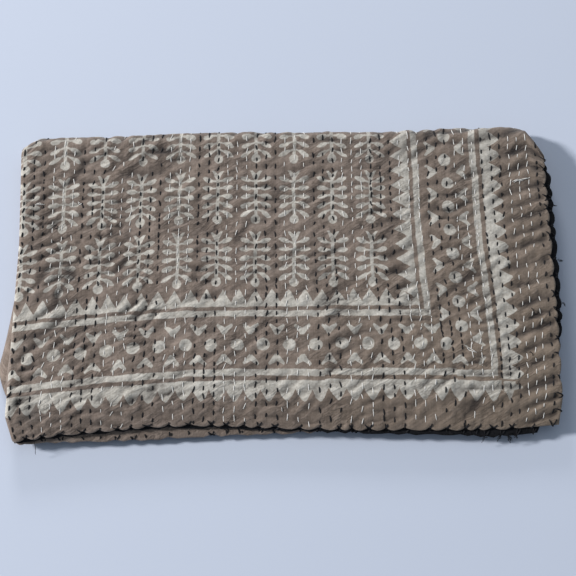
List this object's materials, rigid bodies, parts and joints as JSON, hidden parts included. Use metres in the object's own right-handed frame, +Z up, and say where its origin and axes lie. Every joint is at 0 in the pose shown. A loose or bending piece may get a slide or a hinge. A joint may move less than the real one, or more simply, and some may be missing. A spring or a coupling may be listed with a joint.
{
  "type": "folded kantha quilt",
  "caption": "Hand-quilted cotton throw, printed face and charcoal backing, folded flat into a rectangular bundle with a rounded far fold, scalloped whip-stitched hems and drooping front layers.",
  "frame": {"origin": "middle of the bundle's footprint, on the surface it lies on", "axes": "+X toward the open side with the real edges, +Y toward the thick far fold, +Z up"},
  "size_m": [0.6602, 0.4012, 0.0344],
  "materials": {
    "printed_cotton": "matt taupe cotton with a cream block print and running stitches",
    "charcoal_cotton": "matt charcoal cotton",
    "cream_thread": "matt cream cotton thread",
    "black_thread": "matt black cotton thread"
  },
  "bodies": {
    "root": {"face_cloth": "printed_cotton", "backing_cloth": "charcoal_cotton"}
  },
  "joints": []
}
